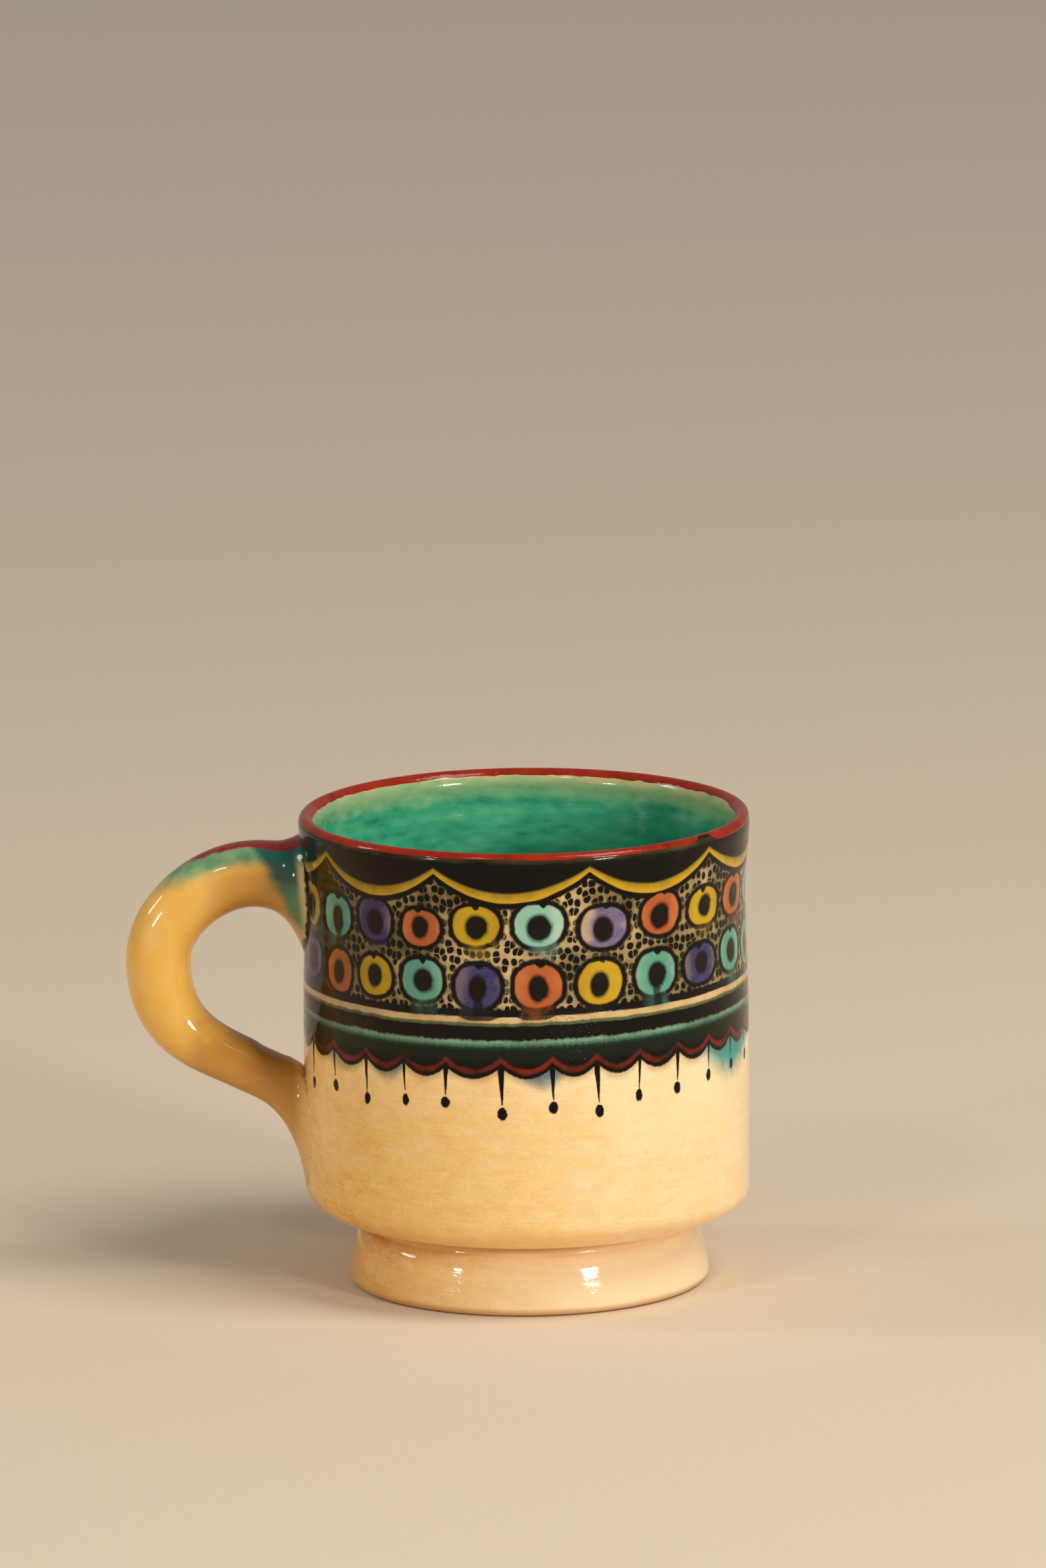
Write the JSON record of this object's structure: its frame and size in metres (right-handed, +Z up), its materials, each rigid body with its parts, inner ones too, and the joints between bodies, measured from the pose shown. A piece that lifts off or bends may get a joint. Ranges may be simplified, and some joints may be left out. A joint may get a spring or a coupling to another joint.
{
  "type": "earthenware mug",
  "caption": "Straight-walled earthenware mug on a flared turned foot, with one pulled loop handle, a glazed inside and a slip-trailed ornament band round the upper wall.",
  "frame": {"origin": "centre of the foot's underside, on the cup's axis", "axes": "+Z up along the cup's axis, handle on -X, ornament faces -Y in the picture"},
  "size_m": [0.1137, 0.082, 0.0865],
  "materials": {
    "bare_clay": "matte",
    "clay_slip": "matte",
    "green_glaze": "gloss",
    "red_slip": "gloss",
    "painted_dark_glaze": "gloss",
    "honey_glaze": "gloss"
  },
  "bodies": {
    "root": {"thrown_cup": "bare_clay", "turned_foot": "bare_clay", "foot_joint_slip": "clay_slip", "pulled_handle": "bare_clay", "upper_joint_slip": "clay_slip", "lower_joint_slip": "clay_slip", "inside_glaze": "green_glaze", "rim_band": "red_slip", "painted_band": "painted_dark_glaze", "lower_wall_glaze": "honey_glaze", "foot_glaze": "honey_glaze", "handle_glaze": "honey_glaze"}
  },
  "joints": []
}
